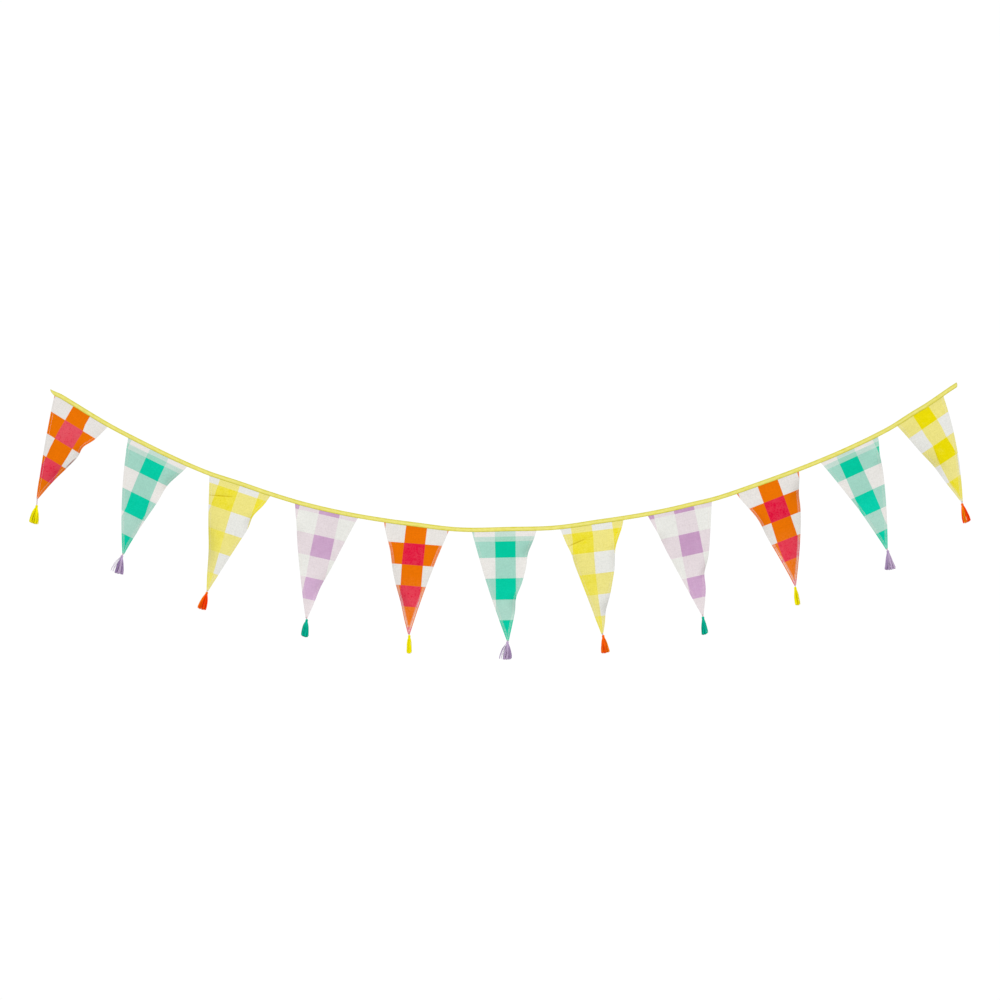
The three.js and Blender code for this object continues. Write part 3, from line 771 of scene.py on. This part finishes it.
def pennant(number, material):
    """One layer of gingham with both side edges turned to the back, its cut size and its area."""
    row, chart = PENNANTS[number - 1], CUTS[number - 1]
    hanging = np.linspace(0, row["depth"], CLOTH_ROWS)
    depth = np.concatenate([[-INSET_DEPTH, -INSET_DEPTH / 2], hanging])[:, None]
    width = cloth_width(row, depth)
    squeeze = np.minimum(1, HEM_SHARE * width / HEM_WIDTH)
    inset, back = hem_columns()
    inset, back = inset * squeeze, back + 0 * depth
    hem = HEM_WIDTH * squeeze / width
    centre = hem + (1 - 2 * hem) * np.linspace(0, 1, CENTRE_COLUMNS + 1)[1:-1]
    share = np.concatenate([inset / width, centre, 1 - inset[:, ::-1] / width], axis=1)
    behind = np.concatenate([back, 0 * centre, back[:, ::-1]], axis=1)
    depth = depth + 0 * share
    surface = cloth_point(number, share, depth)
    points = surface - cloth_normal(number, share, depth) * behind[..., None]
    seen = as_seen(number, cloth_point(number, share, depth, worked=False))
    turned = len(HEM_INSETS)
    turn_under(number, seen, depth, slice(0, turned), 0.0)
    turn_under(number, seen, depth, slice(-turned, None), 1.0)
    uv = on_the_checks(number, seen)
    crease_away, crease_shade_shows = crease_shade_lines(number, as_seen(number, surface))
    lowness = np.clip(depth / row["depth"], 0, 1)
    values = {
        "from_edge": np.minimum(share, 1 - share) * width * MM,
        "lowness": lowness * chart["paling"],
        "washed": np.interp(lowness, WASHED_AT, chart["washed"]),
        "hem_shows": np.where(share < 0.5, *chart["hems"]),
        "crease_away": crease_away * MM,
        "crease_shade_shows": crease_shade_shows,
    }
    name = f"gingham_pennant_{number:02d}"
    faces = grid_faces(*share.shape)
    piece = mesh_piece(name, points.reshape(-1, 3), faces, material, uv.reshape(-1, 2), values, CLOTH)
    cut = (row["width"] + 2 * HEM_WIDTH, row["depth"] + INSET_DEPTH)
    area = (row["width"] + TIP_WIDTH) / 2 * row["depth"] + row["width"] * INSET_DEPTH
    area += 2 * HEM_WIDTH * cut[1]
    return piece, cut, area


def tape_cover(along):
    """At places along the tape: how far a pennant inside holds it open, and how far a hem does."""
    covered, hemmed = np.zeros_like(along), np.zeros_like(along)
    for row in PENNANTS:
        start, end = row["at"], row["at"] + row["width"]
        inside = smoothstep(along, start - RAMP, start) * (1 - smoothstep(along, end, end + RAMP))
        covered = np.maximum(covered, inside)
        for corner in (start + HEM_WIDTH / 2, end - HEM_WIDTH / 2):
            near = 1 - smoothstep(np.abs(along - corner), HEM_WIDTH / 2, HEM_WIDTH)
            hemmed = np.maximum(hemmed, near)
    return covered, hemmed


def tape_profile(covered, hemmed):
    """The folded strip in section: down from its upper fold, and back from the tape's middle.

    Each leaf is an outer layer, a turned edge at the bottom and an inner layer that reaches up.
    """
    inner = HALF_GAP + HELD_OPEN * covered
    outer = inner + TAPE_CLOTH + LAYER_SLACK
    between = (inner + outer) / 2
    low = TAPE_WIDTH - 0.2
    side = [(0.35, outer * 0.55), (1.1, outer * 0.9)]
    side += [(down, outer) for down in (3, 6, 9, low - 0.5)]
    side += [(low, between + 0.12), (low, between - 0.12)]
    side += [(down, inner) for down in (low - 0.5, low - 3, low - 6, low - TURNED_IN)]
    front = [(down, -off) for down, off in side]
    rear = [(down, off + 2 * HEM_FOLD * hemmed) for down, off in side]
    return np.array([*front[::-1], (0, 0), *rear])


def tape(material):
    """A cotton strip folded over the tops of the pennants, edges turned in, and its cut width."""
    steps = np.linspace(0, TAPE_LENGTH, int(TAPE_LENGTH / TAPE_STEP))
    rings = []
    for along, covered, hemmed in zip(steps, *tape_cover(steps)):
        section = tape_profile(covered, hemmed)
        drawn_in = section[:, 0] / TAPE_WIDTH
        left_end = LEFT_SLANT * drawn_in**LEFT_ROUNDED * max(0, 1 - along / SLANT_REACH)
        right_end = RIGHT_SLANT * drawn_in**RIGHT_ROUNDED * max(0, 1 - (TAPE_LENGTH - along) / SLANT_REACH)
        rings.append(tape_point(along + left_end - right_end, section[:, 0], section[:, 1]))
    points = np.array(rings)
    lengths = np.hypot(*np.diff(tape_profile(0, 0), axis=0).T)
    round_strip = np.concatenate([[0], np.cumsum(lengths)])
    cut_width = round_strip[-1]
    uv = np.stack(np.broadcast_arrays(steps[:, None], round_strip - cut_width / 2), axis=-1)
    faces = grid_faces(*points.shape[:2])
    flat_points, flat_uv = points.reshape(-1, 3), uv.reshape(-1, 2)
    piece = mesh_piece("folded_tape", flat_points, faces, material, flat_uv, None, TAPE_CLOTH)
    return piece, float(cut_width)


def geometry_tree(name, sizes):
    """A geometry tree that starts from polylines, and the identifiers of its size inputs."""
    tree = bpy.data.node_groups.new(name, "GeometryNodeTree")
    tree.interface.new_socket("Lines", in_out="INPUT", socket_type="NodeSocketGeometry")
    identifiers = {}
    for label in sizes:
        socket = tree.interface.new_socket(label, in_out="INPUT", socket_type="NodeSocketFloat")
        identifiers[label] = socket.identifier
    tree.interface.new_socket("Pieces", in_out="OUTPUT", socket_type="NodeSocketGeometry")
    bench = Bench(tree)
    group = bench.node("NodeGroupInput")
    curves = bench.node("GeometryNodeMeshToCurve", None, {0: group.outputs["Lines"]})
    return tree, bench, group, curves.outputs[0], identifiers


def close_tree(bench, geometry, material):
    whole = bench.node("GeometryNodeRealizeInstances", None, {0: geometry})
    coloured = bench.node("GeometryNodeSetMaterial", None, {0: whole.outputs[0], "Material": material})
    bench.node("NodeGroupOutput", None, {0: coloured.outputs[0]})


def stitch_tree(material):
    """Stitches lying end to end along a line, each a short rounded length of thread."""
    sizes = ("Pitch", "Length", "Thread")
    tree, bench, group, curve, identifiers = geometry_tree(f"stitches in {material.name}", sizes)
    sockets = {0: curve, "Length": group.outputs["Pitch"]}
    resampled = bench.node("GeometryNodeResampleCurve", {"mode": "LENGTH"}, sockets)
    bead = bench.node("GeometryNodeMeshUVSphere", None, {"Segments": 5, "Rings": 4, "Radius": 0.5})
    thread, length = group.outputs["Thread"], group.outputs["Length"]
    tangent = bench.node("GeometryNodeInputTangent").outputs[0]
    turned = bench.node("FunctionNodeAlignRotationToVector", {"axis": "Z"}, {"Vector": tangent})
    sockets = {
        "Points": resampled.outputs[0],
        "Instance": bead.outputs[0],
        "Rotation": turned.outputs[0],
        "Scale": bench.vector(thread, thread, length),
    }
    placed = bench.node("GeometryNodeInstanceOnPoints", None, sockets)
    close_tree(bench, placed.outputs[0], material)
    return tree, identifiers


def stored(bench, geometry, name, kind, value):
    """Geometry whose points keep a value under a name."""
    settings = {"data_type": kind, "domain": "POINT"}
    sockets = {0: geometry, "Name": name, "Value": value}
    return bench.node("GeometryNodeStoreNamedAttribute", settings, sockets).outputs[0]


def strand_tree(material):
    """Round strands along lines, as thick as the lines' own thickness says."""
    name = f"strands in {material.name}"
    tree, bench, group, curve, identifiers = geometry_tree(name, ("Thickness",))
    thick = bench.node("GeometryNodeInputNamedAttribute", {"data_type": "FLOAT"}, {"Name": "thick"})
    length = bench.node("GeometryNodeSplineParameter").outputs["Length"]
    marked = stored(bench, curve, "along", "FLOAT", length)
    circle = bench.node("GeometryNodeCurvePrimitiveCircle", None, {"Resolution": 5, "Radius": 1.0})
    position = bench.node("GeometryNodeInputPosition").outputs[0]
    ring = stored(bench, circle.outputs[0], "side", "FLOAT_VECTOR", position)
    scale = Amount(bench, thick.outputs[0]) * Amount(bench, group.outputs["Thickness"])
    sockets = {0: marked, 1: ring, "Scale": scale, "Fill Caps": True}
    swept = bench.node("GeometryNodeCurveToMesh", None, sockets)
    smooth = bench.node("GeometryNodeSetShadeSmooth", None, {0: swept.outputs[0]})
    close_tree(bench, smooth.outputs[0], material)
    return tree, identifiers


def along_lines(name, lines, maker, sizes, values=None):
    """A plain mesh along lines of points in mm. maker is a geometry tree and its size inputs."""
    tree, identifiers = maker
    counts = [len(line) for line in lines]
    starts = np.cumsum([0, *counts])
    edges = [(s + i, s + i + 1) for s, count in zip(starts, counts) for i in range(count - 1)]
    piece, _ = new_piece(name, np.concatenate(lines), edges, [], values)
    modifier = piece.modifiers.new("pieces", "NODES")
    modifier.node_group = tree
    for label, size in sizes.items():
        modifier[identifiers[label]] = size
    evaluated = piece.evaluated_get(bpy.context.evaluated_depsgraph_get())
    made = bpy.data.meshes.new_from_object(evaluated)
    piece.modifiers.remove(modifier)
    piece.data = made
    made.name = name
    return piece


def hem_seams(number):
    """The two lines of stitches of a pennant, on its front and on its back."""
    row = PENNANTS[number - 1]
    depth = np.linspace(SEAM_START, row["depth"] - SEAM_SHORT, SEAM_STEPS)
    width = cloth_width(row, depth)
    inset = SEAM_INSET * np.minimum(1, HEM_SHARE * width / HEM_WIDTH) / width
    seams = []
    for share in (inset, 1 - inset):
        normal = cloth_normal(number, share, depth)
        middle = cloth_point(number, share, depth)
        seams.append(middle + normal * (CLOTH / 2))
        seams.append(middle - normal * (2 * HEM_FOLD + CLOTH / 2))
    return seams


def tape_seams():
    """The line of stitches through the tape, on its front and on its back."""
    start, end = LEFT_SLANT + TAPE_SEAM_IN, TAPE_LENGTH - RIGHT_SLANT - TAPE_SEAM_IN
    along = np.linspace(start, end, TAPE_SEAM_STEPS)
    covered, _ = tape_cover(along)
    off = HALF_GAP + HELD_OPEN * covered + TAPE_CLOTH * 1.5 + LAYER_SLACK
    return [tape_point(along, TAPE_SEAM_DOWN, side * off) for side in (-1, 1)]


def offset(place):
    """A place given to the right and down, as a vector."""
    return np.array([place[0], 0, -place[1]], float)


def tassel_frame(number):
    """Where a pennant ends, the top of its tassel, and the directions down, beside and ahead."""
    row = TASSELS[number - 1]
    tip = cloth_point(number, 0.5, PENNANTS[number - 1]["depth"])
    way = offset(row["left"]) + offset(row["right"])
    way = way / np.linalg.norm(way)
    ahead = np.array([0.0, -1.0, 0.0])
    return tip, tip + offset(row["tie"]), way, np.cross(ahead, way), ahead


def disc_point(i, count):
    """The place of one of count points spread evenly over a disc of radius 1."""
    radius, angle = math.sqrt((i + 0.5) / count), i * GOLDEN_ANGLE
    return np.array([radius * math.cos(angle), radius * math.sin(angle)])


def wound(turn, beside, ahead):
    """Directions outwards at angles round a line."""
    return np.outer(np.cos(turn), beside) + np.outer(np.sin(turn), ahead)


def tie_lines(number):
    """The plies of the thread that ties a tassel to its pennant."""
    tip, top, way, beside, ahead = tassel_frame(number)
    up = offset((0, -TIE_IN_CLOTH))
    share = np.linspace(0, 1, TIE_STEPS)[:, None]
    middle = share * (top + way * TIE_IN_HEAD - tip - up) + tip + up
    turns = np.linspace(0, TIE_TWIST, TIE_STEPS)
    phases = [turns + 2 * math.pi * ply / TIE_PLIES for ply in range(TIE_PLIES)]
    return [middle + wound(turn, beside, ahead) * TIE_RADIUS for turn in phases]


def head_lines(top, way, beside, ahead, random):
    """The strands over a tassel's head and the binding below it, each with its radius and tone."""
    shares = np.linspace(0, 1, HEAD_STEPS)
    radii = np.interp(shares, *np.array(HEAD_PROFILE).T) * HEAD_RADIUS - STRAND_RADIUS
    lines = []
    for i in range(HEAD_STRANDS):
        turn = 2 * math.pi * (i + 0.25 * random.random()) / HEAD_STRANDS
        out = beside * math.cos(turn) + ahead * math.sin(turn)
        line = top + np.outer(shares * HEAD_LENGTH, way) + np.outer(radii, out)
        lines.append((line, STRAND_RADIUS * 1.05, random.uniform(0, 0.8)))
    turns = np.linspace(0, 2 * math.pi * BINDING_TURNS, BINDING_STEPS * BINDING_TURNS)
    down = HEAD_LENGTH * (BINDING_FROM + BINDING_SHARE * turns / turns[-1])
    around = wound(turns, beside, ahead) * (NECK_SHARE * HEAD_RADIUS + 0.1)
    binding = top + np.outer(down, way) + around
    return [*lines, (binding, BINDING_RADIUS, 0.7)]


def skirt_lines(row, top, way, ahead, random):
    """The hanging strands of a tassel, gathered in clumps, each with its radius and tone."""
    left, right = offset(row["left"]), offset(row["right"])
    half = (right - left) / 2
    half_width = np.linalg.norm(half)
    outwards = half / half_width
    half_depth = max(SKIRT_DEPTH * half_width, SKIRT_LEAST) - STRAND_RADIUS
    packed = NECK_SHARE * HEAD_RADIUS - STRAND_RADIUS
    from_top = HEAD_LENGTH - ROOT_SINK
    length = np.linalg.norm(left + right) / 2 - from_top
    start = top + way * from_top
    clumps = np.array([disc_point(i, CLUMPS) for i in range(CLUMPS)])
    tones = random.permutation(np.linspace(0, 1, CLUMPS))
    sways = random.uniform(-CLUMP_SWAY, CLUMP_SWAY, (CLUMPS, 2))
    t = np.linspace(0, 1, STRAND_STEPS)
    swing = (np.sin(math.pi * t) + CLUMP_BEND * np.sin(2.6 * math.pi * t) * t)[:, None]
    opened = 1 - (1 - t) ** row["opening"]
    lines = []
    for i in range(STRANDS):
        spot = disc_point(i, STRANDS)
        clump = int(np.argmin(np.linalg.norm(clumps - spot, axis=1)))
        loose = row["loose"] and clumps[clump][0] < LOOSE_FROM
        if loose and random.random() < LOOSE_MISSING:
            continue
        pull = (LOOSE_PULL if loose else CLUMP_PULL) * opened
        sideways = spot[0] + (clumps[clump][0] - spot[0]) * pull
        forward = spot[1] + (clumps[clump][1] - spot[1]) * pull
        reach = length + ROUNDED * (1 - spot @ spot) - UNEVEN * random.random() ** 2
        own = np.sin(t * random.uniform(3, 7) + random.uniform(0, 6, 2)[:, None]).T
        wave = sways[clump] * swing + STRAND_SWAY * own * t[:, None]
        edge = half * SKIRT_SPREAD * (LOOSE_SPREAD if loose else 1)
        over = np.outer(sideways * opened, edge)
        over = over + np.outer(sideways * (1 - opened) * packed + wave[:, 0], outwards)
        fore = forward * (packed + (half_depth - packed) * opened)
        line = start + np.outer(t * reach, way) + over + np.outer(fore + wave[:, 1], ahead)
        tone = float(np.clip(tones[clump] + random.uniform(-TONE_SPREAD, TONE_SPREAD), 0, 1))
        lines.append((line, STRAND_RADIUS * random.uniform(0.85, 1.15), tone + loose))
    return lines


def tassel_lines(number):
    """The strands of one tassel as lines of points, with their thickness and tone."""
    random = np.random.default_rng(100 + number)
    _, top, way, beside, ahead = tassel_frame(number)
    strands = head_lines(top, way, beside, ahead, random)
    strands += skirt_lines(TASSELS[number - 1], top, way, ahead, random)
    lines, radii, tones = zip(*strands)
    counts = [len(line) for line in lines]
    return lines, {"thick": np.repeat(radii, counts), "tone": np.repeat(tones, counts)}


def finish_piece(piece, slot, *nodes):
    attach(piece, "root")
    if nodes:
        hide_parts(*nodes)


def lamp(name, place, size, power):
    """A soft rectangular lamp that points at the middle of the bunting."""
    light = bpy.data.lights.new(name, "AREA")
    light.shape = "RECTANGLE"
    light.size, light.size_y = size
    light.energy = power
    lit = placed(name, light)
    lit.location = place
    x, y, z = np.array(LIT_PLACE) - np.array(place)
    lit.rotation_euler = (math.atan2(math.hypot(x, y), -z), 0, math.atan2(y, x) - math.pi / 2)


def studio():
    """The camera, a white surround, three soft lamps and a pale floor."""
    scene = bpy.context.scene
    camera = bpy.data.cameras.new("camera")
    camera.sensor_width = SENSOR
    camera.lens = SENSOR * CAMERA_AWAY / VIEW_WIDTH
    seen_from = placed("camera", camera)
    seen_from.location = (VIEW_MIDDLE[0], -CAMERA_AWAY, VIEW_MIDDLE[1])
    seen_from.rotation_euler = (math.pi / 2, 0, 0)
    scene.camera = seen_from
    scene.view_settings.view_transform = "Standard"

    world = bpy.data.worlds.new("white surround")
    world.use_nodes = True
    scene.world = world
    bench = Bench(world.node_tree)
    background = world.node_tree.nodes["Background"]
    background.inputs["Color"].default_value = (1, 1, 1, 1)
    in_view = Amount(bench, bench.node("ShaderNodeLightPath").outputs["Is Camera Ray"])
    bench.feed(background.inputs["Strength"], in_view * SURROUND_SEEN + SURROUND)
    for row in LAMPS:
        lamp(**row)

    material, bench, surface = new_finish("pale floor", 0.8, 0)
    mottle = bench.noise(bench.in_space(), 3.0, 3.0)
    colour = bench.mix(mottle, (0.84, 0.84, 0.83, 1), (0.9, 0.9, 0.89, 1))
    bench.feed(surface.inputs["Base Color"], colour)
    corners = np.array([(x, y, FLOOR_Z) for x in FLOOR_X for y in FLOOR_Y], float) / MM
    floor = mesh_piece("floor", corners, [(0, 2, 3, 1)], material)


def main():
    studio()
    ginghams = [gingham(cloth) for cloth in CLOTHS]
    yarns = [yarn(shade) for shade in YARNS]
    pale_thread = sewing_thread("pale sewing thread", dye(240, 228, 224))
    tie_thread = sewing_thread("pale tie thread", dye(212, 184, 186))
    tape_thread = sewing_thread("yellow sewing thread", dye(224, 214, 100))
    sizes = {"Pitch": STITCH_PITCH * MM, "Length": STITCH_LENGTH * MM, "Thread": STITCH_THREAD * MM}

    strip, cut_width = tape(tape_cotton())
    finish_piece(strip, "tape", "tape")
    seam = along_lines("tape_stitches", tape_seams(), stitch_tree(tape_thread), sizes)
    finish_piece(seam, "tape")

    stitches = stitch_tree(pale_thread)
    plies = strand_tree(tie_thread)
    strands = [strand_tree(material) for material in yarns]
    for number in range(1, len(PENNANTS) + 1):
        turn = (number - 1) % len(CLOTHS)
        label = f"{number:02d}"
        cloth_slot = f"{CLOTHS[turn]['name']}_gingham"
        piece, cut, area = pennant(number, ginghams[turn])
        finish_piece(piece, cloth_slot, f"pennant_{label}")
        seam = along_lines(f"hem_stitches_{label}", hem_seams(number), stitches, sizes)
        finish_piece(seam, cloth_slot)
        lines, values = tassel_lines(number)
        yarn_slot = f"{YARNS[turn]['name']}_yarn"
        tassel = along_lines(f"yarn_tassel_{label}", lines, strands[turn], {"Thickness": MM}, values)
        finish_piece(tassel, yarn_slot, f"tassel_{label}")
        values = {"thick": np.full(TIE_PLIES * TIE_STEPS, TIE_RADIUS)}
        tie = along_lines(f"tie_thread_{label}", tie_lines(number), plies, {"Thickness": MM}, values)
        finish_piece(tie, yarn_slot)


main()
